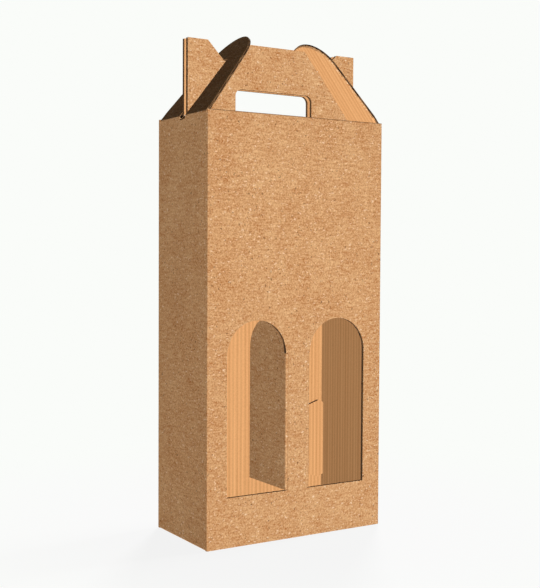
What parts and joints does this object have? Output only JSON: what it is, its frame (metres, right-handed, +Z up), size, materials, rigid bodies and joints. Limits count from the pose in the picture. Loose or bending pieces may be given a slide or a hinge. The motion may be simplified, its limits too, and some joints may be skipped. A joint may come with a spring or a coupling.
{
  "type": "wine bottle carrier box",
  "caption": "Upright corrugated carrier for wine bottles with a notched carrying handle, slotted side lock flaps, arched front windows and folded-in dividers.",
  "frame": {"origin": "on the floor under the middle of the box", "axes": "+Z up, the windowed front faces -Y, +X to the right seen from the front"},
  "size_m": [0.179, 0.092, 0.4378],
  "materials": {
    "kraft_board": "unprinted kraft liner, matte"
  },
  "bodies": {
    "box": {"carton_body": "kraft_board"},
    "left_lock": {"left_lock_flap": "kraft_board"},
    "right_lock": {"right_lock_flap": "kraft_board"},
    "left_divider": {"left_window_flap": "kraft_board"},
    "right_divider": {"right_window_flap": "kraft_board"}
  },
  "joints": [
    {"name": "left_lock_crease", "type": "hinge", "parent": "box", "child": "left_lock", "pos_m": [-0.088, 0, 0.3645], "axis": [0, -1, 0], "range_deg": [0, 125]},
    {"name": "right_lock_crease", "type": "hinge", "parent": "box", "child": "right_lock", "pos_m": [0.088, 0, 0.3645], "axis": [0, 1, 0], "range_deg": [0, 125]},
    {"name": "left_divider_crease", "type": "hinge", "parent": "box", "child": "left_divider", "pos_m": [-0.0108, -0.0445, 0.102], "axis": [0, 0, 1], "range_deg": [-8, 90]},
    {"name": "right_divider_crease", "type": "hinge", "parent": "box", "child": "right_divider", "pos_m": [0.0108, -0.0445, 0.102], "axis": [0, 0, -1], "range_deg": [-8, 90]}
  ]
}
